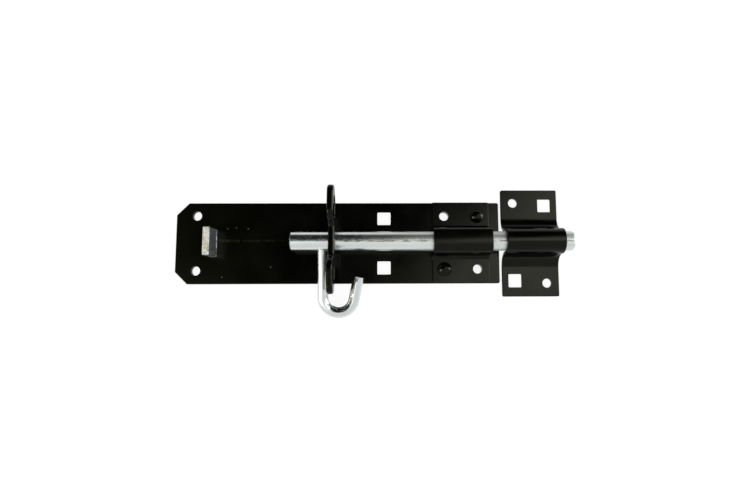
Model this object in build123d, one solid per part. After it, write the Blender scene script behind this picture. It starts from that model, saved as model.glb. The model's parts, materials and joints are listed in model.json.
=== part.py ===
from build123d import *
import os
from math import acos, atan2, cos, dist, pi, radians, sin, tan

# Padbolt for a gate, lying on its back. Millimetres.
# X runs along the bolt towards the keep, Y across the plate, Z out from the gate.
# The origin is the middle of the back plate's rear face.

# Back plate
plate_length = 254.0
plate_width = 64.0
plate_thickness = 3.0
tail_chamfer = 9.5
nose_corner_radius = 1.5
plate_edge_round = 0.5

# Fixing holes, shared by the plate, the strap and the keep
screw_hole_dia = 7.2
coach_square = 10.5
coach_corner_radius = 0.8
tail_hole_inset = 16.1
tail_hole_offset = 21.7
coach_x = 36.0
coach_offset = 19.6

# Bolt
bolt_dia = 15.0
bolt_tail_x = -34.7
bolt_overhang = 8.3
bolt_lift = 2.0
bolt_tip_round = 2.2
bolt_tail_bevel = 0.6

# Guide strap, pressed from sheet and riveted over the bolt
strap_inset = 8.3
strap_length = 44.8
strap_thickness = 2.0
strap_pitch_x = 26.0
strap_pitch_y = 41.8
strap_roof_span = 9.8
strap_foot_radius = 3.5

# Shared by the strap's bridge and the keep's
guide_clearance = 0.4
bridge_roof_lean = 12.0
sheet_corner_radius = 1.2
sheet_edge_round = 0.5

# Strap rivets
rivet_shank_dia = 6.0
rivet_head_dia = 11.0
rivet_head_height = 3.4
rivet_clearance = 0.05

# Padlock staple, an upright plate with two eyes
staple_x = -3.0
staple_thickness = 5.0
staple_reach = 40.8
staple_saddle_rim = 3.2
staple_wing_y = 22.0
staple_wing_radius = 9.3
staple_nose_radius = 6.0
staple_nose_rise = 2.5
wing_clearance = 0.7
staple_foot_outer = 20.0
eye_length = 17.0
eye_height = 9.0
eye_y = 24.5
eye_rise = 1.0
passage_clearance = 0.4
foot_fillet = 2.0
saddle_fillet = 4.0
staple_edge_round = 1.6
eye_edge_round = 0.8
tenon_width = 7.0
tenon_clearance = 0.05

# Stop lug near the tail
lug_inset = 26.8
lug_thickness = 5.2
lug_width = 21.5
lug_height = 15.5
lug_tenon_width = 12.0
lug_edge_round = 0.7

# Hook handle, a bent rod that leans on the gate when it is down
rod_dia = 8.5
handle_x = -10.8
bow_radius = 12.0
bow_depth = 55.0
tip_lean = 11.3
tip_from_axis = 27.4
handle_drop = 7.8
handle_clearance = 0.3
rod_end_bevel = 0.7

# Keep for the gate post
keep_gap = 2.2
keep_length = 44.8
keep_width = 85.0
keep_thickness = 2.0
keep_roof_span = 1.8
keep_foot_radius = 9.5
keep_round_x = 12.8
keep_round_y = 32.0
keep_square_x = 12.3
keep_square_y = 30.0

# Worked out from the sizes above
bolt_radius = bolt_dia / 2
plate_end_x = plate_length / 2
axis_z = plate_thickness + bolt_lift + bolt_radius
guide_half_width = bolt_radius + guide_clearance
guide_roof_z = axis_z + bolt_radius + guide_clearance
strap_start_x = plate_end_x - strap_inset - strap_length
strap_mid_x = strap_start_x + strap_length / 2
keep_start_x = plate_end_x + keep_gap
keep_mid_x = keep_start_x + keep_length / 2
bolt_length = keep_start_x + keep_length + bolt_overhang - bolt_tail_x
lug_face_x = lug_inset + lug_thickness - plate_end_x
rod_radius = rod_dia / 2
passage_radius = bolt_radius + passage_clearance
saddle_top_z = axis_z + passage_radius + staple_saddle_rim
rod_top_at_tip = axis_z - tip_from_axis * tan(radians(handle_drop)) + rod_radius / cos(radians(handle_drop))
wing_floor_z = rod_top_at_tip + wing_clearance
tenon_y = (passage_radius + staple_foot_outer) / 2
wing_z = wing_floor_z + staple_wing_radius
eye_z = wing_z + eye_rise

strap_hole_places = [
    (strap_mid_x - strap_pitch_x / 2, strap_pitch_y / 2),
    (strap_mid_x + strap_pitch_x / 2, -strap_pitch_y / 2),
]
rivet_places = [
    (strap_mid_x + strap_pitch_x / 2, strap_pitch_y / 2),
    (strap_mid_x - strap_pitch_x / 2, -strap_pitch_y / 2),
]


def round_holes(places, dia, depth):
    return [Pos(x, y, 0) * Cylinder(dia / 2, 3 * depth) for x, y in places]


def square_holes(places, depth):
    outline = RectangleRounded(coach_square, coach_square, coach_corner_radius)
    return [Pos(x, y, -depth) * extrude(outline, 3 * depth) for x, y in places]


def tenon_slot(x, y, thickness, width):
    slot = Box(thickness + 2 * tenon_clearance, width + 2 * tenon_clearance, 3 * plate_thickness)
    return Pos(x, y, 0) * slot


def on_circle(centre, radius, angle):
    return (centre[0] + radius * cos(angle), centre[1] + radius * sin(angle))


def bridge_line(width, thickness, seat_z, roof_span, foot_radius, lift):
    # One side of a sheet that runs flat, rises, crosses over the bolt and comes down again, in YZ.
    # The roof is a shallow arc between two shoulders. Lift is 0 for the under side.
    lean = radians(bridge_roof_lean)
    shoulder_radius = guide_half_width - roof_span / 2
    crown_radius = shoulder_radius + roof_span / 2 / sin(lean)
    crown_z = guide_roof_z - crown_radius
    shoulder_z = crown_z + roof_span / 2 / tan(lean)
    foot_y = guide_half_width + thickness + foot_radius
    foot_z = seat_z + thickness + foot_radius
    roof_end = on_circle((0, crown_z), crown_radius + lift, pi / 2 - lean)
    roof_far_end = (-roof_end[0], roof_end[1])
    wall_y = guide_half_width + lift
    half = [
        Line((width / 2, seat_z + lift), (foot_y, seat_z + lift)),
        RadiusArc((foot_y, seat_z + lift), (wall_y, foot_z), foot_radius + thickness - lift),
        Line((wall_y, foot_z), (wall_y, shoulder_z)),
        RadiusArc((wall_y, shoulder_z), roof_end, -shoulder_radius - lift),
    ]
    roof = ThreePointArc(roof_end, (0, guide_roof_z + lift), roof_far_end)
    return Curve() + half + roof + [mirror(edge, about=Plane.YZ) for edge in half]


def bridge(start_x, length, width, thickness, seat_z, roof_span, foot_radius):
    section = (width, thickness, seat_z, roof_span, foot_radius)
    under_side = bridge_line(*section, lift=0)
    top_side = bridge_line(*section, lift=thickness)
    flange_ends = [Line((y, seat_z), (y, seat_z + thickness)) for y in (width / 2, -width / 2)]
    profile_plane = Plane(origin=(start_x, 0, 0), x_dir=(0, 1, 0), z_dir=(1, 0, 0))
    sheet = extrude(profile_plane * make_face(under_side + top_side + flange_ends), length)
    corners = sheet.edges().filter_by(Axis.Z)
    corners = corners.group_by(Axis.Y)[0] + corners.group_by(Axis.Y)[-1]
    sheet = fillet(corners, sheet_corner_radius)
    # The rim is the top edge all round, without the seams that run along the bolt between two bends
    rim = []
    for edge in sheet.edges():
        middle = edge.center()
        on_top = top_side.distance_to(Vertex(middle.Y, middle.Z, 0)) < sheet_edge_round / 2
        along_bolt = edge.geom_type == GeomType.LINE and abs(middle.X - start_x - length / 2) < length / 4
        far_edge = abs(middle.Y) > width / 2 - thickness / 2
        if on_top and (far_edge or not along_bolt):
            rim.append(edge)
    return fillet(rim, sheet_edge_round)


def build_back_plate():
    plate = Pos(0, 0, plate_thickness / 2) * Box(plate_length, plate_width, plate_thickness)
    corners = plate.edges().filter_by(Axis.Z)
    plate = chamfer(corners.group_by(Axis.X)[0], tail_chamfer)
    plate = fillet(plate.edges().filter_by(Axis.Z).group_by(Axis.X)[-1], nose_corner_radius)
    plate = fillet(plate.faces().sort_by(Axis.Z)[-1].edges(), plate_edge_round)
    tail_x = tail_hole_inset - plate_end_x
    tail_places = [(tail_x, side * tail_hole_offset) for side in (1, -1)]
    coach_places = [(coach_x, side * coach_offset) for side in (1, -1)]
    plate -= round_holes(tail_places + strap_hole_places, screw_hole_dia, plate_thickness)
    plate -= square_holes(coach_places, plate_thickness)
    plate -= round_holes(rivet_places, rivet_shank_dia + 2 * rivet_clearance, plate_thickness)
    for side in (1, -1):
        plate -= tenon_slot(staple_x, side * tenon_y, staple_thickness, tenon_width)
    plate -= tenon_slot(lug_face_x - lug_thickness / 2, 0, lug_thickness, lug_tenon_width)
    return plate


def build_guide_strap():
    strap = bridge(
        strap_start_x,
        strap_length,
        plate_width,
        strap_thickness,
        plate_thickness,
        strap_roof_span,
        strap_foot_radius,
    )
    through = plate_thickness + strap_thickness
    strap -= round_holes(strap_hole_places, screw_hole_dia, through)
    strap -= round_holes(rivet_places, rivet_shank_dia + 2 * rivet_clearance, through)
    return strap


def build_strap_rivets():
    seat = plate_thickness + strap_thickness
    head_half = rivet_head_dia / 2
    dome_radius = (head_half**2 + rivet_head_height**2) / (2 * rivet_head_height)
    half_section = make_face(
        Curve()
        + [
            Line((0, 0), (rivet_shank_dia / 2, 0)),
            Line((rivet_shank_dia / 2, 0), (rivet_shank_dia / 2, seat)),
            Line((rivet_shank_dia / 2, seat), (head_half, seat)),
            RadiusArc((head_half, seat), (0, seat + rivet_head_height), -dome_radius),
            Line((0, seat + rivet_head_height), (0, 0)),
        ]
    )
    rivet = revolve(Plane.XZ * half_section, Axis.Z)
    return Compound([Pos(x, y, 0) * rivet for x, y in rivet_places])


def wing_outline():
    # A large circle near the bolt and a small one at the tip, joined by the two lines that touch both
    wing = (staple_wing_y, wing_z)
    nose = (staple_reach - staple_nose_radius, wing_z + staple_nose_rise)
    lean = atan2(nose[1] - wing[1], nose[0] - wing[0])
    touch = acos((staple_wing_radius - staple_nose_radius) / dist(wing, nose))
    wing_points = [on_circle(wing, staple_wing_radius, lean + angle) for angle in (touch, pi, -touch)]
    nose_points = [on_circle(nose, staple_nose_radius, lean + angle) for angle in (-touch, 0, touch)]
    outline = [
        ThreePointArc(*wing_points),
        Line(wing_points[-1], nose_points[0]),
        ThreePointArc(*nose_points),
        Line(nose_points[-1], wing_points[0]),
    ]
    return make_face(Curve() + outline)


def staple_profile():
    # A tapered wing each side of the bolt, a saddle over it, and a foot each side standing on the plate
    half = wing_outline()
    foot_height = saddle_top_z - plate_thickness
    foot = Rectangle(staple_foot_outer, foot_height)
    half += Pos(staple_foot_outer / 2, plate_thickness + foot_height / 2) * foot
    outline = half + mirror(half, about=Plane.YZ)
    for side in (1, -1):
        saddle_corner = outline.vertices().sort_by_distance((side * staple_wing_y / 2, saddle_top_z))[0]
        outline = fillet(saddle_corner, saddle_fillet)
        foot_corner = outline.vertices().sort_by_distance((side * staple_foot_outer, wing_floor_z))[0]
        outline = fillet(foot_corner, foot_fillet)
    passage = Pos(0, axis_z) * Circle(passage_radius)
    passage += Pos(0, axis_z / 2) * Rectangle(2 * passage_radius, axis_z)
    return outline - passage


def build_padlock_staple():
    face_plane = Plane(origin=(staple_x - staple_thickness / 2, 0, 0), x_dir=(0, 1, 0), z_dir=(1, 0, 0))
    blank = extrude(face_plane * staple_profile(), staple_thickness)
    sides = blank.faces().filter_by(Axis.X)
    rims = ShapeList(edge for side in sides for edge in side.edges())
    free_rims = []
    for edge in rims:
        middle = edge.center()
        beside_bolt = abs(middle.Y) < passage_radius + passage_clearance
        in_passage = beside_bolt and middle.Z < saddle_top_z - staple_saddle_rim / 2
        on_plate = middle.Z < plate_thickness + staple_edge_round
        if not in_passage and not on_plate:
            free_rims.append(edge)
    blank = fillet(free_rims, staple_edge_round)
    eye = SlotOverall(eye_length, eye_height)
    eye_places = face_plane * Locations((eye_y, eye_z), (-eye_y, eye_z))
    eyes = [extrude(place * eye, 2 * staple_thickness, both=True) for place in eye_places]
    staple = blank - eyes
    staple = fillet(new_edges(blank, *eyes, combined=staple), eye_edge_round)
    for side in (1, -1):
        tenon = Box(staple_thickness, tenon_width, plate_thickness)
        staple += Pos(staple_x, side * tenon_y, plate_thickness / 2) * tenon
    return staple


def build_stop_lug():
    mid_x = lug_face_x - lug_thickness / 2
    block = Pos(mid_x, 0, plate_thickness + lug_height / 2) * Box(lug_thickness, lug_width, lug_height)
    block = fillet(block.edges().filter_by(Axis.Z) + block.edges().group_by(Axis.Z)[-1], lug_edge_round)
    return block + Pos(mid_x, 0, plate_thickness / 2) * Box(lug_thickness, lug_tenon_width, plate_thickness)


def build_bolt_shaft():
    bar = Pos(bolt_tail_x + bolt_length / 2, 0, axis_z) * Rot(0, 90, 0) * Cylinder(bolt_radius, bolt_length)
    ends = bar.edges().filter_by(GeomType.CIRCLE).sort_by(Axis.X)
    bar = fillet(ends[-1], bolt_tip_round)
    return chamfer(bar.edges().filter_by(GeomType.CIRCLE).sort_by(Axis.X)[0], bolt_tail_bevel)


def build_hook_handle():
    # The rod is bent flat in its own plane, then dropped by the angle at which it leans on the gate
    leg_end = bow_depth - bow_radius
    turn = radians(180 - tip_lean)
    arc_mid = (bow_radius * (1 - cos(turn / 2)), leg_end + bow_radius * sin(turn / 2))
    arc_end = (bow_radius * (1 - cos(turn)), leg_end + bow_radius * sin(turn))
    tip_x = arc_end[0] + (arc_end[1] - tip_from_axis) * tan(radians(tip_lean))
    path = Curve() + [
        Line((0, 0), (0, leg_end)),
        ThreePointArc((0, leg_end), arc_mid, arc_end),
        Line(arc_end, (tip_x, tip_from_axis)),
    ]
    rod = sweep(Plane.XZ * Circle(rod_radius), path=path)
    tip_face = rod.faces().sort_by_distance((tip_x, tip_from_axis, 0))[0]
    rod = chamfer(tip_face.edges(), rod_end_bevel)
    rod -= Rot(0, 90, 0) * Cylinder(bolt_radius + handle_clearance, 4 * rod_dia)
    return Pos(handle_x, 0, axis_z) * Rot(180 + handle_drop, 0, 0) * rod


def build_keep():
    keep = bridge(keep_start_x, keep_length, keep_width, keep_thickness, 0, keep_roof_span, keep_foot_radius)
    round_places = [(keep_mid_x - flip * keep_round_x, flip * keep_round_y) for flip in (1, -1)]
    square_places = [(keep_mid_x + flip * keep_square_x, flip * keep_square_y) for flip in (1, -1)]
    keep -= round_holes(round_places, screw_hole_dia, keep_thickness)
    return keep - square_holes(square_places, keep_thickness)


nodes = {
    "back_plate": build_back_plate(),
    "guide_strap": build_guide_strap(),
    "strap_rivets": build_strap_rivets(),
    "padlock_staple": build_padlock_staple(),
    "stop_lug": build_stop_lug(),
    "bolt_shaft": build_bolt_shaft(),
    "hook_handle": build_hook_handle(),
    "keep": build_keep(),
}

os.makedirs("parts", exist_ok=True)
for name, shape in nodes.items():
    export_step(shape, f"parts/{name}.step")
    print(name, shape.bounding_box().size)
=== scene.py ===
import json
import math
import bpy
from mathutils import Matrix, Vector


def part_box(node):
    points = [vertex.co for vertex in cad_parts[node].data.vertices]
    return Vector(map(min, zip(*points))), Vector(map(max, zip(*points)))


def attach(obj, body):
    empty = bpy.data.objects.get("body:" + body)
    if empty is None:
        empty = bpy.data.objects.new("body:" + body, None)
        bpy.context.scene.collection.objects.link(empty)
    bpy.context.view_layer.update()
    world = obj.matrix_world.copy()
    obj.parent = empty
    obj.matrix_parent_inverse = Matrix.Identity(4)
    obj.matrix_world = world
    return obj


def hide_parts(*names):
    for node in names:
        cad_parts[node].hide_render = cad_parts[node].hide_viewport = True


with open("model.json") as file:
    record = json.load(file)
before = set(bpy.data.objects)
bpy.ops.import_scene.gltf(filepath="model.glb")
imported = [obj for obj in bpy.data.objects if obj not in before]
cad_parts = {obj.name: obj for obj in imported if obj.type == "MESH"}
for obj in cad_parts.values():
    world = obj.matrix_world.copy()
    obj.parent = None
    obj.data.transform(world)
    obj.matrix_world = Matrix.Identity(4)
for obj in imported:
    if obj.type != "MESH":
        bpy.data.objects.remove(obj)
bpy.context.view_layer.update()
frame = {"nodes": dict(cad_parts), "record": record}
mm = 0.001
print("frame loaded:", sorted(frame["nodes"]))


# node helpers
def addNode(tree, kind, **settings):
    node = tree.nodes.new(kind)
    for name, value in settings.items():
        setattr(node, name, value)
    return node


def setSocket(tree, socket, value):
    # a socket takes a plain value or another node's output
    if isinstance(value, bpy.types.NodeSocket):
        tree.links.new(value, socket)
    else:
        socket.default_value = value


def mathNode(tree, operation, first, second=None, third=None, clamp=False):
    node = addNode(tree, "ShaderNodeMath", operation=operation, use_clamp=clamp)
    for socket, value in zip(node.inputs, (first, second, third)):
        if value is not None:
            setSocket(tree, socket, value)
    return node.outputs[0]


def mapRange(tree, value, low, high, toLow=0.0, toHigh=1.0):
    node = addNode(tree, "ShaderNodeMapRange", interpolation_type="SMOOTHSTEP")
    for socket, setting in zip(node.inputs, (value, low, high, toLow, toHigh)):
        setSocket(tree, socket, setting)
    return node.outputs[0]


def mixColour(tree, factor, first, second):
    # the node has a pair of inputs for each kind of data, and 6 and 7 are the colours
    node = addNode(tree, "ShaderNodeMix", data_type="RGBA")
    setSocket(tree, node.inputs["Factor"], factor)
    setSocket(tree, node.inputs[6], first)
    setSocket(tree, node.inputs[7], second)
    return node.outputs[2]


def objectPoint(tree, scale=(1, 1, 1)):
    coords = addNode(tree, "ShaderNodeTexCoord")
    mapping = addNode(tree, "ShaderNodeMapping")
    mapping.inputs["Scale"].default_value = scale
    tree.links.new(coords.outputs["Object"], mapping.inputs["Vector"])
    return mapping.outputs["Vector"]


def noise(tree, vector, scale, detail=2.0, roughness=0.5):
    node = addNode(tree, "ShaderNodeTexNoise")
    tree.links.new(vector, node.inputs["Vector"])
    node.inputs["Scale"].default_value = scale
    node.inputs["Detail"].default_value = detail
    node.inputs["Roughness"].default_value = roughness
    return node.outputs[0]


def bump(tree, height, strength, distance):
    node = addNode(tree, "ShaderNodeBump")
    tree.links.new(height, node.inputs["Height"])
    node.inputs["Strength"].default_value = strength
    node.inputs["Distance"].default_value = distance
    return node.outputs["Normal"]


def newMaterial(name):
    material = bpy.data.materials.new(name)
    material.use_nodes = True
    tree = material.node_tree
    return material, tree, tree.nodes["Principled BSDF"]


def grey(value):
    return (value, value, value, 1)


def dotWith(tree, vector, direction):
    node = addNode(tree, "ShaderNodeVectorMath", operation="DOT_PRODUCT")
    setSocket(tree, node.inputs[0], vector)
    setSocket(tree, node.inputs[1], tuple(Vector(direction).normalized()))
    return node.outputs["Value"]


def distanceTo(tree, vector, place):
    node = addNode(tree, "ShaderNodeVectorMath", operation="DISTANCE")
    setSocket(tree, node.inputs[0], vector)
    setSocket(tree, node.inputs[1], place)
    return node.outputs["Value"]


def product(tree, first, *others):
    for other in others:
        first = mathNode(tree, "MULTIPLY", first, other)
    return first


def bandMask(tree, value, centre, half, soft):
    # 1 inside centre plus or minus half, fading to 0 over the soft width
    away = mathNode(tree, "ABSOLUTE", mathNode(tree, "SUBTRACT", value, centre))
    return mapRange(tree, away, half - soft, half + soft, 1.0, 0.0)


def bandAcross(tree, y, band):
    # the same for a band that runs along a piece, in millimetres
    return bandMask(tree, y, band["y"] * mm, band["half"] * mm, band["soft"] * mm)


def fade(tree, value, places, first=0.0, last=1.0):
    # goes from the first to the last between two places in millimetres
    return mapRange(tree, value, places[0] * mm, places[1] * mm, first, last)


def patches(tree, look):
    # stretched noise: 0 below the first of its levels, 1 above the second
    cloud = noise(tree, objectPoint(tree, look["scale"]), 1.0, look["detail"], look["roughness"])
    return mapRange(tree, cloud, *look["levels"])


def splitPoint(tree, vector):
    node = addNode(tree, "ShaderNodeSeparateXYZ")
    tree.links.new(vector, node.inputs[0])
    return node.outputs


def joinXyz(tree, x, y, z):
    node = addNode(tree, "ShaderNodeCombineXYZ")
    for socket, value in zip(node.inputs, (x, y, z)):
        setSocket(tree, socket, value)
    return node.outputs[0]


# satin black paint on pressed steel
blackPaint = {
    "colour": (0.0005, 0.0005, 0.0003, 1),
    "dusty": (0.0016, 0.0016, 0.0011, 1),
    "roughness": (0.15, 0.22),
    "specular": 0.16,
    "tint": (0.97, 1.0, 0.82, 1),
    "cloudScale": 38,            # soft clouds, which turn dusty and dull over these levels
    "cloudDetail": 3.0,
    "dustyCloud": (0.35, 0.7),
    "dullCloud": (0.3, 0.72),
    "peelScale": 420,            # orange peel, in bumps per metre
    "peelHeight": 0.00001,
    "grainScale": 2600,
    "grain": 0.25,
    "bump": 0.35,
    "cutRoughness": 0.85,        # thin paint on the plates' cut edges
    "cutHeight": (4.94, 5.2),    # millimetres, fading out between the two
    "cutSlope": (0.1, 0.4),      # and as a face turns upwards
    "holeRadius": 3.6,           # screw holes, whose walls are glossy
    "holeMargin": (1.1, 1.2),
    "tailHoles": [(-110.9, 21.7), (-110.9, -21.7)],
    "strapHole": (-13.0, 20.9),  # from the middle of its own piece
    "keepHole": (-12.8, 32.0),
}


def screwHoles():
    # two at the tail, and two on one diagonal of the strap and of the keep
    places = [(x * mm, y * mm) for x, y in blackPaint["tailHoles"]]
    for name, hole in (("guide_strap", "strapHole"), ("keep", "keepHole")):
        low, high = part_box(name)
        middle = (low[0] + high[0]) / 2
        x, y = blackPaint[hole]
        places.append((middle + x * mm, y * mm))
        places.append((middle - x * mm, -y * mm))
    return places


def cutEdge(tree, point):
    # 1 on upright faces low down, apart from the walls of the screw holes
    normal = addNode(tree, "ShaderNodeNewGeometry").outputs["Normal"]
    slope = mathNode(tree, "ABSOLUTE", splitPoint(tree, normal)[2])
    upright = mapRange(tree, slope, *blackPaint["cutSlope"], 1.0, 0.0)
    edge = product(tree, upright, fade(tree, splitPoint(tree, point)[2], blackPaint["cutHeight"], 1.0, 0.0))
    flat = objectPoint(tree, (1, 1, 0))
    margin = [share * blackPaint["holeRadius"] for share in blackPaint["holeMargin"]]
    for x, y in screwHoles():
        edge = product(tree, edge, fade(tree, distanceTo(tree, flat, (x, y, 0)), margin))
    return edge


def makeBlackPaint(name, wear=None):
    material, tree, shader = newMaterial(name)
    point = objectPoint(tree)
    cloud = noise(tree, point, blackPaint["cloudScale"], blackPaint["cloudDetail"])
    peel = noise(tree, point, blackPaint["peelScale"])
    grain = noise(tree, point, blackPaint["grainScale"])
    dusty = mapRange(tree, cloud, *blackPaint["dustyCloud"])
    colour = mixColour(tree, dusty, blackPaint["colour"], blackPaint["dusty"])
    rough = mapRange(tree, cloud, *blackPaint["dullCloud"], *blackPaint["roughness"])
    rough = mapRange(tree, cutEdge(tree, point), 0.0, 1.0, rough, blackPaint["cutRoughness"])
    if wear:
        colour, rough = wear(tree, point, colour, rough)
    height = mathNode(tree, "MULTIPLY_ADD", grain, blackPaint["grain"], peel)
    setSocket(tree, shader.inputs["Base Color"], colour)
    setSocket(tree, shader.inputs["Roughness"], rough)
    shader.inputs["Specular IOR Level"].default_value = blackPaint["specular"]
    shader.inputs["Specular Tint"].default_value = blackPaint["tint"]
    normal = bump(tree, height, blackPaint["bump"], blackPaint["peelHeight"])
    setSocket(tree, shader.inputs["Normal"], normal)
    return material


# wear on the back plate, in millimetres: dust at the tail, a line rubbed by the bolt's tail, a scuff and
# a dull patch beside the lug, and specks
plateWear = {
    "dust": {"fades": (-127.0, -20.0), "colour": (0.0024, 0.0027, 0.0010, 1)},
    "rub": {"y": 1.9, "half": 0.7, "soft": 0.7, "starts": (-95.0, -93.0), "fades": (-94.0, -38.0),
            "least": 0.35, "stops": (-44.0, -34.0), "colour": (0.020, 0.018, 0.008, 1)},
    "dashes": {"scale": (260, 40, 1), "detail": 3.0, "roughness": 0.7, "levels": (0.38, 0.62)},
    "scuff": {"y": 1.9, "half": 1.1, "soft": 1.1, "fades": (-94.0, -78.0),
              "colour": (0.024, 0.024, 0.010, 1)},
    "fuzz": {"scale": (1300, 1300, 1300), "detail": 3.0, "roughness": 0.7, "levels": (0.38, 0.60)},
    "dull": {"y": 0.5, "half": 9.0, "soft": 6.0, "fades": (-94.0, -80.0), "roughness": 0.30},
    "specks": [(-86.8, 11.5), (-80.1, 12.3), (-70.7, 11.5), (-52.6, -19.0), (-90.3, -26.8)],
    "speckRadius": (0.225, 0.45),  # full inside the first, gone past the second
    "speckColour": (0.16, 0.16, 0.13, 1),
}
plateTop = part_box("back_plate")[1][2]


def wearPlate(tree, point, colour, rough):
    dust, rub, scuff, dull = (plateWear[name] for name in ("dust", "rub", "scuff", "dull"))
    x, y = splitPoint(tree, point)[:2]
    colour = mixColour(tree, fade(tree, x, dust["fades"], 1.0, 0.0), colour, dust["colour"])
    pastLug = fade(tree, x, rub["starts"])
    rubbed = product(tree, bandAcross(tree, y, rub), fade(tree, x, rub["fades"], 1.0, rub["least"]),
                     fade(tree, x, rub["stops"], 1.0, 0.0), pastLug, patches(tree, plateWear["dashes"]))
    colour = mixColour(tree, rubbed, colour, rub["colour"])
    scuffed = product(tree, bandAcross(tree, y, scuff), fade(tree, x, scuff["fades"], 1.0, 0.0), pastLug,
                      patches(tree, plateWear["fuzz"]))
    colour = mixColour(tree, scuffed, colour, scuff["colour"])
    dulled = product(tree, bandAcross(tree, y, dull), fade(tree, x, dull["fades"], 1.0, 0.0), pastLug)
    rough = mapRange(tree, dulled, 0.0, 1.0, rough, dull["roughness"])
    for speckX, speckY in plateWear["specks"]:
        away = distanceTo(tree, point, (speckX * mm, speckY * mm, plateTop))
        speck = fade(tree, away, plateWear["speckRadius"], 1.0, 0.0)
        colour = mixColour(tree, speck, colour, plateWear["speckColour"])
    return colour, rough


# bright zinc plating, which the bar, the rod and the lug take in their own way
zincPlate = {
    "cool": (0.68, 0.73, 0.72, 1),
    "warm": (0.64, 0.60, 0.51, 1),
    "grainScale": 1500,
    "patchScale": 90,
    "detail": 3.0,
    "fineness": 0.6,             # weight of the finest part of the streaks and the grain
    "warmStain": (0.45, 0.75),
    "warmStreak": (0.4, 0.75),
    "dullStreak": (0.3, 0.75),
}


def makeZinc(name, look, streakPoint, finish):
    material, tree, shader = newMaterial(name)
    point = objectPoint(tree)
    streak = noise(tree, streakPoint(tree), 1.0, zincPlate["detail"], zincPlate["fineness"])
    grain = noise(tree, point, zincPlate["grainScale"], zincPlate["detail"], zincPlate["fineness"])
    marking = noise(tree, point, zincPlate["patchScale"])
    warmth = product(tree, mapRange(tree, marking, *zincPlate["warmStain"]),
                     mapRange(tree, streak, *zincPlate["warmStreak"]))
    colour = mixColour(tree, warmth, zincPlate["cool"], zincPlate["warm"])
    rough = mapRange(tree, streak, *zincPlate["dullStreak"], *look["roughness"])
    height = mathNode(tree, "MULTIPLY_ADD", grain, look["grain"], streak)
    colour, rough, metal = finish(tree, point, colour, rough)
    setSocket(tree, shader.inputs["Base Color"], colour)
    setSocket(tree, shader.inputs["Roughness"], rough)
    setSocket(tree, shader.inputs["Metallic"], metal)
    setSocket(tree, shader.inputs["Normal"], bump(tree, height, look["bump"], look["streakHeight"]))
    return material


# the drawn bar: streaks along it, a brown line left by the drawing die, and a nose that is duller than
# the tail; places in millimetres
drawnBar = {
    "roughness": (0.20, 0.32),
    "streakScale": (150, 1100, 1100),
    "streakHeight": 0.00008,
    "grain": 0.3,
    "bump": 0.5,
    "upperHalf": (-1.0, 1.0),    # heights from the bar's axis
    "line": {"y": -0.9, "half": 0.5, "soft": 0.35, "starts": (0.0, 8.0), "strength": 0.9,
             "colour": (0.10, 0.08, 0.05, 1)},
    "dashes": {"scale": (160, 900, 1), "detail": 3.0, "roughness": 0.65, "levels": (0.40, 0.60)},
    "haze": {"y": 0.6, "half": 1.6, "soft": 1.28, "colour": (0.52, 0.46, 0.37, 1)},
    "blotches": {"scale": (350, 1300, 1), "detail": 2.0, "roughness": 0.5, "levels": (0.38, 0.66)},
    "nose": {"fades": (-10.0, 110.0), "roughness": 0.50},
}


def streakAlongBar(tree):
    return objectPoint(tree, drawnBar["streakScale"])


def markBar(tree, point, colour, rough):
    line, haze, nose = (drawnBar[name] for name in ("line", "haze", "nose"))
    low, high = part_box("bolt_shaft")
    x, y, z = splitPoint(tree, point)
    fromAxis = mathNode(tree, "SUBTRACT", z, (low[2] + high[2]) / 2)
    onTop = fade(tree, fromAxis, drawnBar["upperHalf"])
    hazy = product(tree, bandAcross(tree, y, haze), onTop, patches(tree, drawnBar["blotches"]))
    colour = mixColour(tree, hazy, colour, haze["colour"])
    drawn = product(tree, bandAcross(tree, y, line), onTop, fade(tree, x, line["starts"]),
                    patches(tree, drawnBar["dashes"]), line["strength"])
    colour = mixColour(tree, drawn, colour, line["colour"])
    rough = fade(tree, x, nose["fades"], rough, nose["roughness"])
    return colour, rough, 1.0


# the stop lug: smooth sheared sides, a rough pale top with pits, and painted glints along its foot
shearedLug = {
    "roughness": (0.42, 0.52),
    "streakScale": (700, 700, 60),
    "streakHeight": 0.00003,
    "grain": 0.8,
    "bump": 0.2,
    "sideColour": (0.30, 0.34, 0.37, 1),
    "rubbedColour": (0.46, 0.49, 0.50, 1),
    "rubs": {"scale": (500, 500, 90), "detail": 3.0, "roughness": 0.6, "levels": (0.45, 0.7)},
    "topFades": (-0.5, -0.2),    # millimetres from the top
    "topColour": (0.66, 0.65, 0.60, 1),
    "topRoughness": 0.62,
    "topMetal": 0.12,
    "yellowed": (0.52, 0.52, 0.36, 1),
    "yellowing": {"scale": (260, 260, 260), "detail": 2.0, "roughness": 0.5, "levels": (0.42, 0.60)},
    "pitColour": (0.15, 0.15, 0.12, 1),
    "pits": {"scale": (900, 900, 900), "detail": 3.0, "roughness": 0.65, "levels": (0.53, 0.63)},
    # painted highlight: near-white glints at the foot of the sides, fading out between these heights
    "footFades": (0.9, 1.5),     # millimetres above the plate
    "paintedGlintColour": (0.95, 0.95, 0.93, 1),
    "paintedGlints": {"scale": (420, 420, 420), "detail": 2.0, "roughness": 0.5, "levels": (0.42, 0.52)},
}


def streakDownLug(tree):
    return objectPoint(tree, shearedLug["streakScale"])


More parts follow.
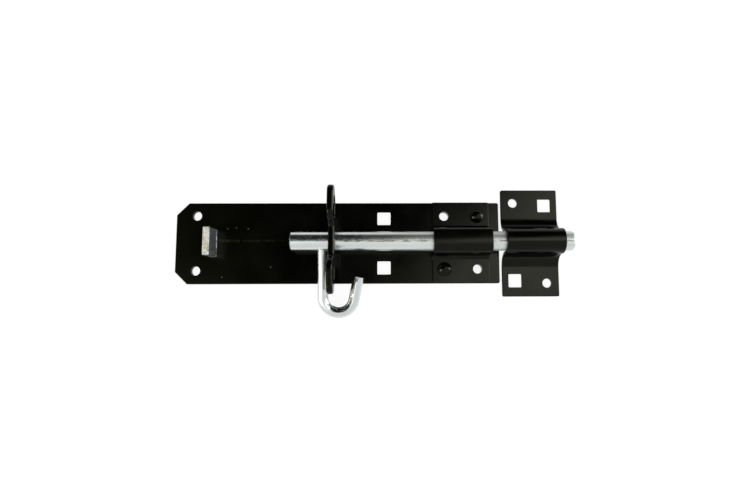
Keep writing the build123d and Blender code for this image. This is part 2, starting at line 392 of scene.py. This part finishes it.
def paleLugTop(tree, point, colour, rough):
    # the lug's own colours cover the plating's
    z = splitPoint(tree, point)[2]
    fromTop = mathNode(tree, "SUBTRACT", z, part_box("stop_lug")[1][2])
    upper = fade(tree, fromTop, shearedLug["topFades"])
    yellowing = patches(tree, shearedLug["yellowing"])
    pale = mixColour(tree, yellowing, shearedLug["topColour"], shearedLug["yellowed"])
    pale = mixColour(tree, patches(tree, shearedLug["pits"]), pale, shearedLug["pitColour"])
    metal = mapRange(tree, upper, 0.0, 1.0, 1.0, shearedLug["topMetal"])
    rough = mapRange(tree, upper, 0.0, 1.0, rough, shearedLug["topRoughness"])
    rubs = patches(tree, shearedLug["rubs"])
    side = mixColour(tree, rubs, shearedLug["sideColour"], shearedLug["rubbedColour"])
    # painted highlight: broken near-white, non-metal glints along the foot of the sides
    foot = fade(tree, mathNode(tree, "SUBTRACT", z, plateTop), shearedLug["footFades"], 1.0, 0.0)
    paintedGlint = product(tree, foot, patches(tree, shearedLug["paintedGlints"]))
    side = mixColour(tree, paintedGlint, side, shearedLug["paintedGlintColour"])
    metal = mathNode(tree, "SUBTRACT", metal, paintedGlint, clamp=True)
    return mixColour(tree, upper, side, pale), rough, metal


def paintNode(name, material):
    mesh = frame["nodes"][name].data
    mesh.materials.clear()
    mesh.materials.append(material)


blackMaterial = makeBlackPaint("blackPaint")
paintNode("back_plate", makeBlackPaint("platePaint", wearPlate))
for name in ("guide_strap", "padlock_staple", "keep"):
    paintNode(name, blackMaterial)
paintNode("bolt_shaft", makeZinc("barZinc", drawnBar, streakAlongBar, markBar))
paintNode("stop_lug", makeZinc("lugZinc", shearedLug, streakDownLug, paleLugTop))
print("finishes on")


# geometry trees
def newTree(name, inputs):
    tree = bpy.data.node_groups.new(name, "GeometryNodeTree")
    for label, kind in inputs.items():
        tree.interface.new_socket(label, in_out="INPUT", socket_type="NodeSocket" + kind)
    tree.interface.new_socket("Geometry", in_out="OUTPUT", socket_type="NodeSocketGeometry")
    return tree, addNode(tree, "NodeGroupInput").outputs, addNode(tree, "NodeGroupOutput").inputs


def geometryNode(tree, kind, geometry, settings, **properties):
    # one step of a tree: the geometry goes into the first socket, the settings into the named ones
    node = addNode(tree, kind, **properties)
    tree.links.new(geometry, node.inputs[0])
    for label, value in settings.items():
        setSocket(tree, node.inputs[label], value)
    return node.outputs[0]


def storePoint(tree, geometry, label, value, kind="FLOAT"):
    return geometryNode(tree, "GeometryNodeStoreNamedAttribute", geometry, {"Name": label, "Value": value},
                        data_type=kind, domain="POINT")


def endTree(tree, geometry, sharpAngle, material, result):
    # smooth apart from edges sharper than the angle
    angle = addNode(tree, "GeometryNodeInputMeshEdgeAngle").outputs["Unsigned Angle"]
    sharp = mathNode(tree, "GREATER_THAN", angle, sharpAngle)
    solid = geometryNode(tree, "GeometryNodeRealizeInstances", geometry, {})
    solid = geometryNode(tree, "GeometryNodeSetShadeSmooth", solid, {"Shade Smooth": True}, domain="FACE")
    solid = geometryNode(tree, "GeometryNodeSetShadeSmooth", solid,
                         {"Selection": sharp, "Shade Smooth": False}, domain="EDGE")
    solid = geometryNode(tree, "GeometryNodeSetMaterial", solid, {"Material": material})
    tree.links.new(solid, result[0])


def growPiece(name, tree, values):
    piece = bpy.data.objects.new(name, bpy.data.meshes.new(name))
    bpy.context.scene.collection.objects.link(piece)
    modifier = piece.modifiers.new("shape", "NODES")
    modifier.node_group = tree
    for item in tree.interface.items_tree:
        if item.in_out == "INPUT":
            modifier[item.identifier] = values[item.name]
    depsgraph = bpy.context.evaluated_depsgraph_get()
    grown = bpy.data.meshes.new_from_object(piece.evaluated_get(depsgraph), preserve_all_data_layers=True,
                                            depsgraph=depsgraph)
    piece.modifiers.clear()
    piece.data = grown
    return piece


# dome-headed rivets, in millimetres
domeRivets = {
    "headRadius": 5.5,
    "headHeight": 3.4,
    "rim": 0.3,
    "shankRadius": 3.0,
    "sharpAngle": 0.6,           # radians
    "headVertices": 64,
    "domeRings": 14,
    "shankVertices": 40,
}


def rivetTree():
    tree, given, result = newTree("domeRivets", {
        "First": "Vector", "Second": "Vector", "Head Radius": "Float", "Head Height": "Float",
        "Rim": "Float", "Shank Radius": "Float", "Seat": "Float", "Head Vertices": "Int",
        "Dome Rings": "Int", "Shank Vertices": "Int", "Sharp Angle": "Float", "Material": "Material"})
    dome = mathNode(tree, "SUBTRACT", given["Head Height"], given["Rim"])
    radiusSquared = mathNode(tree, "POWER", given["Head Radius"], 2.0)
    ball = mathNode(tree, "DIVIDE", mathNode(tree, "MULTIPLY_ADD", dome, dome, radiusSquared),
                    mathNode(tree, "MULTIPLY", dome, 2.0))
    head = addNode(tree, "GeometryNodeMeshCylinder", fill_type="TRIANGLE_FAN")
    head.inputs["Side Segments"].default_value = 1
    setSocket(tree, head.inputs["Vertices"], given["Head Vertices"])
    setSocket(tree, head.inputs["Fill Segments"], given["Dome Rings"])
    setSocket(tree, head.inputs["Radius"], given["Head Radius"])
    setSocket(tree, head.inputs["Depth"], given["Rim"])
    x, y, z = splitPoint(tree, addNode(tree, "GeometryNodeInputPosition").outputs[0])
    fromAxis = mathNode(tree, "MULTIPLY_ADD", x, x, mathNode(tree, "MULTIPLY", y, y))
    rise = mathNode(tree, "SQRT", mathNode(tree, "SUBTRACT", mathNode(tree, "POWER", ball, 2.0), fromAxis))
    rise = mathNode(tree, "SUBTRACT", rise, mathNode(tree, "SUBTRACT", ball, dome))
    domed = geometryNode(tree, "GeometryNodeSetPosition", head.outputs["Mesh"], {
        "Selection": mathNode(tree, "GREATER_THAN", z, 0.0), "Offset": joinXyz(tree, 0.0, 0.0, rise)})
    lift = mathNode(tree, "MULTIPLY_ADD", given["Rim"], 0.5, given["Seat"])
    domed = geometryNode(tree, "GeometryNodeTransform", domed, {
        "Translation": joinXyz(tree, 0.0, 0.0, lift)})
    shank = addNode(tree, "GeometryNodeMeshCylinder")
    setSocket(tree, shank.inputs["Vertices"], given["Shank Vertices"])
    setSocket(tree, shank.inputs["Radius"], given["Shank Radius"])
    setSocket(tree, shank.inputs["Depth"], given["Seat"])
    middle = mathNode(tree, "MULTIPLY", given["Seat"], 0.5)
    pin = geometryNode(tree, "GeometryNodeTransform", shank.outputs["Mesh"], {
        "Translation": joinXyz(tree, 0.0, 0.0, middle)})
    rivet = addNode(tree, "GeometryNodeJoinGeometry")
    tree.links.new(domed, rivet.inputs[0])
    tree.links.new(pin, rivet.inputs[0])
    line = addNode(tree, "GeometryNodeMeshLine", mode="END_POINTS", count_mode="TOTAL")
    line.inputs["Count"].default_value = 2
    setSocket(tree, line.inputs["Start Location"], given["First"])
    setSocket(tree, line.inputs["Offset"], given["Second"])
    placed = geometryNode(tree, "GeometryNodeInstanceOnPoints", line.outputs[0], {
        "Instance": rivet.outputs[0]})
    endTree(tree, placed, given["Sharp Angle"], given["Material"], result)
    return tree


def makeRivets():
    low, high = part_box("strap_rivets")
    radius = domeRivets["headRadius"] * mm
    rivets = growPiece("strapRivets", rivetTree(), {
        "First": (low[0] + radius, low[1] + radius, 0.0),
        "Second": (high[0] - radius, high[1] - radius, 0.0),
        "Head Radius": radius,
        "Head Height": domeRivets["headHeight"] * mm,
        "Rim": domeRivets["rim"] * mm,
        "Shank Radius": domeRivets["shankRadius"] * mm,
        "Seat": high[2] - domeRivets["headHeight"] * mm,
        "Head Vertices": domeRivets["headVertices"],
        "Dome Rings": domeRivets["domeRings"],
        "Shank Vertices": domeRivets["shankVertices"],
        "Sharp Angle": domeRivets["sharpAngle"],
        "Material": blackMaterial,
    })
    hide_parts("strap_rivets")
    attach(rivets, "fixed")


makeRivets()
print("rivets made")

# the hook handle: a rod bent round a bow, in millimetres from the bar's axis
hookRod = {
    "rodRadius": 4.25,
    "bowRadius": 12.0,
    "bowDepth": 55.0,
    "tipLean": 11.3,         # degrees off parallel to the leg
    "tipFromAxis": 27.4,
    "endBevel": 0.7,
    "rootRadius": 7.58,      # the saddle that sits on the bar
    "rootFade": 8.0,
    "sharpAngle": 0.5,       # radians
    "ringPoints": 48,
    "roughness": (0.10, 0.20),
    # painted shade and reflections, and a brown stain near the cut end: bands across the rod from 1 inside
    # the bend to -1 outside, the shares of the rod's length over which each comes and goes, and the levels
    # at which noise breaks it up
    "shadeAndStainBands": [
        # painted shade inside the bend, from the middle of the bow on
        {"at": 1.0, "half": 0.18, "soft": 0.06, "comes": (0.50, 0.56), "breaks": (0.0, 0.1),
         "colour": (0.035, 0.045, 0.045, 1)},
        # painted shade, near black, inside the tip arm
        {"at": 1.0, "half": 0.46, "soft": 0.08, "comes": (0.86, 0.90), "breaks": (0.0, 0.1),
         "colour": (0.012, 0.012, 0.010, 1)},
        # painted reflection, brown, a little inside the bend along the bow and the tip arm
        {"at": 0.38, "half": 0.13, "soft": 0.10, "comes": (0.58, 0.70), "breaks": (0.36, 0.56),
         "colour": (0.13, 0.10, 0.055, 1)},
        # a brown stain near the cut end
        {"at": 0.12, "half": 0.24, "soft": 0.22, "comes": (0.90, 0.99), "breaks": (0.36, 0.58),
         "colour": (0.15, 0.13, 0.085, 1)},
        # painted reflection, pale grey-green, along the leg
        {"at": 0.55, "half": 0.42, "soft": 0.20, "goes": (0.30, 0.36), "breaks": (0.2, 0.6),
         "colour": (0.36, 0.37, 0.31, 1)},
    ],
    "shadeAndStainRoughness": 0.5,
    "patchScale": 260,
    "patchDetail": 3.0,
    "patchFineness": 0.65,
    "streakScale": (90, 5, 5),
    "streakHeight": 0.00003,
    "grain": 0.25,
    "bump": 0.3,
}


def storedValue(tree, label):
    # what the rod's tree stores on its mesh
    return addNode(tree, "ShaderNodeAttribute", attribute_name=label).outputs["Fac"]


def streakAlongRod(tree):
    # streaks follow the rod's length and go round it without a seam
    turn = mathNode(tree, "MULTIPLY", storedValue(tree, "around"), 2 * math.pi)
    scale = hookRod["streakScale"]
    across = mathNode(tree, "MULTIPLY", mathNode(tree, "COSINE", turn), scale[1])
    up = mathNode(tree, "MULTIPLY", mathNode(tree, "SINE", turn), scale[2])
    return joinXyz(tree, mathNode(tree, "MULTIPLY", storedValue(tree, "along"), scale[0]), across, up)


# paints the rod's bands of shade and reflection, and its stain, into the colour, and makes them rougher
def paintRodShadeAndStains(tree, point, colour, rough):
    inward = storedValue(tree, "inward")
    share = storedValue(tree, "share")
    patchy = noise(tree, point, hookRod["patchScale"], hookRod["patchDetail"], hookRod["patchFineness"])
    for marking in hookRod["shadeAndStainBands"]:
        shadeAndStainMask = product(tree, bandMask(tree, inward, marking["at"], marking["half"], marking["soft"]),
                          mapRange(tree, patchy, *marking["breaks"]))
        if "comes" in marking:
            shadeAndStainMask = product(tree, shadeAndStainMask, mapRange(tree, share, *marking["comes"]))
        if "goes" in marking:
            shadeAndStainMask = product(tree, shadeAndStainMask, mapRange(tree, share, *marking["goes"], 1.0, 0.0))
        colour = mixColour(tree, shadeAndStainMask, colour, marking["colour"])
        rough = mapRange(tree, shadeAndStainMask, 0.0, 1.0, rough, hookRod["shadeAndStainRoughness"])
    return colour, rough, 1.0


def hookTree():
    tree, given, result = newTree("hookRod", {
        "Leg Start": "Float", "Leg Length": "Float", "Bow Radius": "Float", "Bow Turn": "Float",
        "Tip Length": "Float", "Rod Radius": "Float", "Tip Scale": "Float", "Points": "Int",
        "Ring Points": "Int", "Root Radius": "Float", "Root Fade": "Float", "Drop": "Vector",
        "Place": "Vector", "Sharp Angle": "Float", "Material": "Material"})
    bowLength = mathNode(tree, "MULTIPLY", given["Bow Radius"], given["Bow Turn"])
    bent = mathNode(tree, "ADD", given["Leg Length"], bowLength)
    total = mathNode(tree, "ADD", bent, given["Tip Length"])
    straight = addNode(tree, "GeometryNodeCurvePrimitiveLine")
    setSocket(tree, straight.inputs["End"], joinXyz(tree, 0.0, total, 0.0))
    path = geometryNode(tree, "GeometryNodeResampleCurve", straight.outputs[0], {"Count": given["Points"]})
    # these two are read afresh on the path, the ring and the rod
    spline = addNode(tree, "GeometryNodeSplineParameter")
    position = addNode(tree, "GeometryNodeInputPosition").outputs[0]
    run = spline.outputs["Length"]
    # leg, then bow, then tip: each takes its share of the run
    leg = mathNode(tree, "MINIMUM", run, given["Leg Length"])
    pastLeg = mathNode(tree, "SUBTRACT", run, given["Leg Length"])
    turned = mathNode(tree, "MAXIMUM", mathNode(tree, "DIVIDE", pastLeg, given["Bow Radius"]), 0.0)
    turned = mathNode(tree, "MINIMUM", turned, given["Bow Turn"])
    tip = mathNode(tree, "MAXIMUM", mathNode(tree, "SUBTRACT", run, bent), 0.0)
    sine = mathNode(tree, "SINE", turned)
    cosine = mathNode(tree, "COSINE", turned)
    aside = mathNode(tree, "MULTIPLY", given["Bow Radius"], mathNode(tree, "SUBTRACT", 1.0, cosine))
    aside = mathNode(tree, "MULTIPLY_ADD", tip, sine, aside)
    depth = mathNode(tree, "ADD", leg, given["Leg Start"])
    depth = mathNode(tree, "MULTIPLY_ADD", given["Bow Radius"], sine, depth)
    depth = mathNode(tree, "MULTIPLY_ADD", tip, cosine, depth)
    inside = joinXyz(tree, cosine, mathNode(tree, "MULTIPLY", sine, -1.0), 0.0)
    path = storePoint(tree, path, "along", run)
    path = storePoint(tree, path, "share", spline.outputs["Factor"])
    path = storePoint(tree, path, "inside", inside, "FLOAT_VECTOR")
    bentPlace = joinXyz(tree, aside, depth, 0.0)
    path = geometryNode(tree, "GeometryNodeSetPosition", path, {"Position": bentPlace})
    path = storePoint(tree, path, "centre", position, "FLOAT_VECTOR")
    ends = addNode(tree, "GeometryNodeCurveEndpointSelection")
    ends.inputs["Start Size"].default_value = 0
    path = geometryNode(tree, "GeometryNodeSetCurveRadius", path, {
        "Selection": ends.outputs[0], "Radius": given["Tip Scale"]})
    ring = addNode(tree, "GeometryNodeCurvePrimitiveCircle", mode="RADIUS")
    setSocket(tree, ring.inputs["Resolution"], given["Ring Points"])
    setSocket(tree, ring.inputs["Radius"], given["Rod Radius"])
    profile = storePoint(tree, ring.outputs[0], "around", spline.outputs["Factor"])
    rod = geometryNode(tree, "GeometryNodeCurveToMesh", path, {"Profile Curve": profile, "Fill Caps": True})
    # how far each point lies towards the inside of the bend, from -1 to 1
    stored = {}
    for label in ("inside", "centre"):
        node = addNode(tree, "GeometryNodeInputNamedAttribute", data_type="FLOAT_VECTOR")
        node.inputs["Name"].default_value = label
        stored[label] = node.outputs["Attribute"]
    fromCentre = addNode(tree, "ShaderNodeVectorMath", operation="SUBTRACT")
    setSocket(tree, fromCentre.inputs[0], position)
    setSocket(tree, fromCentre.inputs[1], stored["centre"])
    inward = addNode(tree, "ShaderNodeVectorMath", operation="DOT_PRODUCT")
    setSocket(tree, inward.inputs[0], fromCentre.outputs[0])
    setSocket(tree, inward.inputs[1], stored["inside"])
    inward = mathNode(tree, "DIVIDE", inward.outputs["Value"], given["Rod Radius"])
    rod = storePoint(tree, rod, "inward", inward)
    # the root ring is drawn on to a saddle round the bar, fading out along the leg
    x, y, z = splitPoint(tree, position)
    rootSquared = mathNode(tree, "POWER", given["Root Radius"], 2.0)
    saddle = mathNode(tree, "SUBTRACT", rootSquared, mathNode(tree, "MULTIPLY", z, z))
    saddle = mathNode(tree, "SQRT", saddle)
    up = mathNode(tree, "DIVIDE", mathNode(tree, "SUBTRACT", y, given["Leg Start"]), given["Root Fade"])
    nearRoot = mathNode(tree, "MAXIMUM", mathNode(tree, "SUBTRACT", 1.0, up), 0.0)
    shift = mathNode(tree, "MULTIPLY", mathNode(tree, "SUBTRACT", saddle, given["Leg Start"]), nearRoot)
    rod = geometryNode(tree, "GeometryNodeSetPosition", rod, {"Offset": joinXyz(tree, 0.0, shift, 0.0)})
    rod = geometryNode(tree, "GeometryNodeTransform", rod, {
        "Rotation": given["Drop"], "Translation": given["Place"]})
    endTree(tree, rod, given["Sharp Angle"], given["Material"], result)
    return tree


def makeHook():
    joints = {joint["name"]: joint for joint in frame["record"]["behaviour"]["joints"]}
    swing = joints["handle_turn"]
    drop = (swing["range_deg"][1] - 180) / 2
    radius, bow = hookRod["rodRadius"], hookRod["bowRadius"]
    bowTurn = math.radians(180 - hookRod["tipLean"])
    legStart = math.sqrt(hookRod["rootRadius"] ** 2 - radius ** 2)
    legLength = hookRod["bowDepth"] - bow - legStart
    bowEnd = legStart + legLength + bow * math.sin(bowTurn)
    tipLength = (bowEnd - hookRod["tipFromAxis"]) / math.cos(math.radians(hookRod["tipLean"]))
    runLength = legLength + bow * bowTurn + tipLength
    hook = growPiece("hookRod", hookTree(), {
        "Leg Start": legStart * mm,
        "Leg Length": legLength * mm,
        "Bow Radius": bow * mm,
        "Bow Turn": bowTurn,
        "Tip Length": tipLength * mm,
        "Rod Radius": radius * mm,
        "Tip Scale": 1 - hookRod["endBevel"] / radius,
        "Points": round(runLength / hookRod["endBevel"]) + 1,
        "Ring Points": hookRod["ringPoints"],
        "Root Radius": hookRod["rootRadius"] * mm,
        "Root Fade": hookRod["rootFade"] * mm,
        "Drop": (math.radians(180 + drop), 0.0, 0.0),
        "Place": tuple(swing["pos_m"]),
        "Sharp Angle": hookRod["sharpAngle"],
        "Material": makeZinc("rodZinc", hookRod, streakAlongRod, paintRodShadeAndStains),
    })
    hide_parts("hook_handle")
    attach(hook, "handle")


makeHook()
print("hook made")

# white floor that still takes a faint shadow
floorLook = {"size": 6.0, "drop": 0.0002, "albedo": 0.85, "shown": 0.88, "shadowed": 0.16}


def makeFloor():
    half = floorLook["size"] / 2
    mesh = bpy.data.meshes.new("floor")
    corners = [(-half, -half), (half, -half), (half, half), (-half, half)]
    mesh.from_pydata([(x, y, -floorLook["drop"]) for x, y in corners], [], [(0, 1, 2, 3)])
    floor = bpy.data.objects.new("floor", mesh)
    bpy.context.scene.collection.objects.link(floor)
    material, tree, shader = newMaterial("floorWhite")
    tree.nodes.remove(shader)
    output = tree.nodes["Material Output"]
    path = addNode(tree, "ShaderNodeLightPath")
    seen = mathNode(tree, "ADD", path.outputs["Is Camera Ray"], path.outputs["Is Glossy Ray"], clamp=True)
    seen = mathNode(tree, "ADD", seen, path.outputs["Is Transmission Ray"], clamp=True)
    plain = addNode(tree, "ShaderNodeBsdfDiffuse")
    plain.inputs["Color"].default_value = grey(floorLook["albedo"])
    shaded = addNode(tree, "ShaderNodeBsdfDiffuse")
    shaded.inputs["Color"].default_value = grey(floorLook["shadowed"])
    glow = addNode(tree, "ShaderNodeEmission")
    glow.inputs["Strength"].default_value = floorLook["shown"]
    shown = addNode(tree, "ShaderNodeAddShader")
    tree.links.new(shaded.outputs[0], shown.inputs[0])
    tree.links.new(glow.outputs[0], shown.inputs[1])
    mix = addNode(tree, "ShaderNodeMixShader")
    tree.links.new(seen, mix.inputs[0])
    tree.links.new(plain.outputs[0], mix.inputs[1])
    tree.links.new(shown.outputs[0], mix.inputs[2])
    tree.links.new(mix.outputs[0], output.inputs["Surface"])
    mesh.materials.append(material)


makeFloor()
print("floor laid")

# soft studio: a bright half of the sky in front, a strip overhead to the right, a pale backdrop low down,
# two small lamps at the sides and a faint one high on the left
studio = {
    "frontEdge": (-0.14, 0.05),  # tangent of the angle from overhead at which the front light ends
    "turnRight": 1.1,            # how far the front light's edge turns towards the keep
    "turnLeft": 0.1,             # and towards the tail
    "front": 0.85,
    "back": 0.005,
    "stripDepth": (-0.08, 0.06),  # tangents too, as are the next two
    "stripEdge": (-0.11, 0.06),
    "stripEnd": (0.5, 0.9),
    "strip": 2.1,
    "backdropHeight": (0.10, 0.32),  # sines of the angle above the floor, as are the next two
    "whiteHeight": (0.03, 0.12),     # where the white background ends for what mirrors it
    "horizon": 0.02,                 # tangents are taken no lower than this
    "backdrop": 0.55,
    # rim: cosines of the angle from the lamp's middle at which it fades out and is full
    "lamps": [
        {"towards": (-0.80, -0.24, 0.55), "rim": (0.975, 0.993), "strength": 14.0},
        {"towards": (0.95, 0.20, 0.22), "rim": (0.958, 0.990), "strength": 11.0},
        {"towards": (-0.50, -0.25, 0.83), "rim": (0.930, 0.985), "strength": 0.7},
    ],
}


def makeStudio():
    world = bpy.data.worlds.new("studio")
    world.use_nodes = True
    bpy.context.scene.world = world
    tree = world.node_tree
    background = tree.nodes["Background"]
    background.inputs["Color"].default_value = grey(1)
    coords = addNode(tree, "ShaderNodeTexCoord").outputs["Generated"]
    x, y, z = splitPoint(tree, coords)
    lift = mathNode(tree, "MAXIMUM", z, studio["horizon"])
    right = mathNode(tree, "MULTIPLY", mathNode(tree, "MAXIMUM", x, 0.0), studio["turnRight"])
    turned = mathNode(tree, "MULTIPLY_ADD", mathNode(tree, "MINIMUM", x, 0.0), studio["turnLeft"], right)
    slope = mathNode(tree, "DIVIDE", mathNode(tree, "SUBTRACT", y, turned), lift)
    light = mapRange(tree, slope, *studio["frontEdge"], studio["front"], studio["back"])
    backdrop = mapRange(tree, z, *studio["backdropHeight"], studio["backdrop"], 0.0)
    light = mathNode(tree, "MAXIMUM", light, backdrop)
    strip = product(tree, mapRange(tree, mathNode(tree, "DIVIDE", y, lift), *studio["stripDepth"]),
                    mapRange(tree, slope, *studio["stripEdge"], 1.0, 0.0),
                    mapRange(tree, mathNode(tree, "DIVIDE", x, lift), *studio["stripEnd"], 1.0, 0.0))
    light = mathNode(tree, "MULTIPLY_ADD", strip, studio["strip"], light)
    for lamp in studio["lamps"]:
        facing = dotWith(tree, coords, lamp["towards"])
        light = mathNode(tree, "ADD", light, mapRange(tree, facing, *lamp["rim"], 0.0, lamp["strength"]))
    # the white background: all round for the camera, low down for what mirrors it
    path = addNode(tree, "ShaderNodeLightPath")
    mirrored = mathNode(tree, "ADD", path.outputs["Is Glossy Ray"], path.outputs["Is Transmission Ray"],
                        clamp=True)
    mirrored = product(tree, mirrored, mapRange(tree, z, *studio["whiteHeight"], 1.0, 0.0))
    shown = mathNode(tree, "MAXIMUM", path.outputs["Is Camera Ray"], mirrored)
    tree.links.new(mathNode(tree, "MAXIMUM", light, shown), background.inputs["Strength"])


makeStudio()

# the camera, solved from the plate's corners and holes in the photograph
shot = {
    "place": (43.35, -50.24, 361.87),      # millimetres
    "turn": (-0.09221, 0.01339, 0.00338),  # the axis of its turn, as long as the angle in radians
    "frame": (750, 500),                   # pixels, as are the next two
    "centre": (399.5, 264.5),
    "focal": 459.04,
    "sensor": 36.0,
    "clipStart": 0.01,
}


def makeCamera():
    width, height = shot["frame"]
    data = bpy.data.cameras.new("camera")
    data.sensor_width = shot["sensor"]
    data.lens = shot["focal"] / width * shot["sensor"]
    data.shift_x = (width / 2 - shot["centre"][0]) / width
    data.shift_y = (shot["centre"][1] - height / 2) / width
    data.clip_start = shot["clipStart"]
    camera = bpy.data.objects.new("camera", data)
    bpy.context.scene.collection.objects.link(camera)
    axis = Vector(shot["turn"])
    turn = Matrix.Rotation(axis.length, 4, axis.normalized()).transposed()
    camera.matrix_world = Matrix.Translation(Vector(shot["place"]) * mm) @ turn
    bpy.context.scene.camera = camera


makeCamera()
bpy.context.scene.view_settings.view_transform = "Standard"
print("studio and camera set")
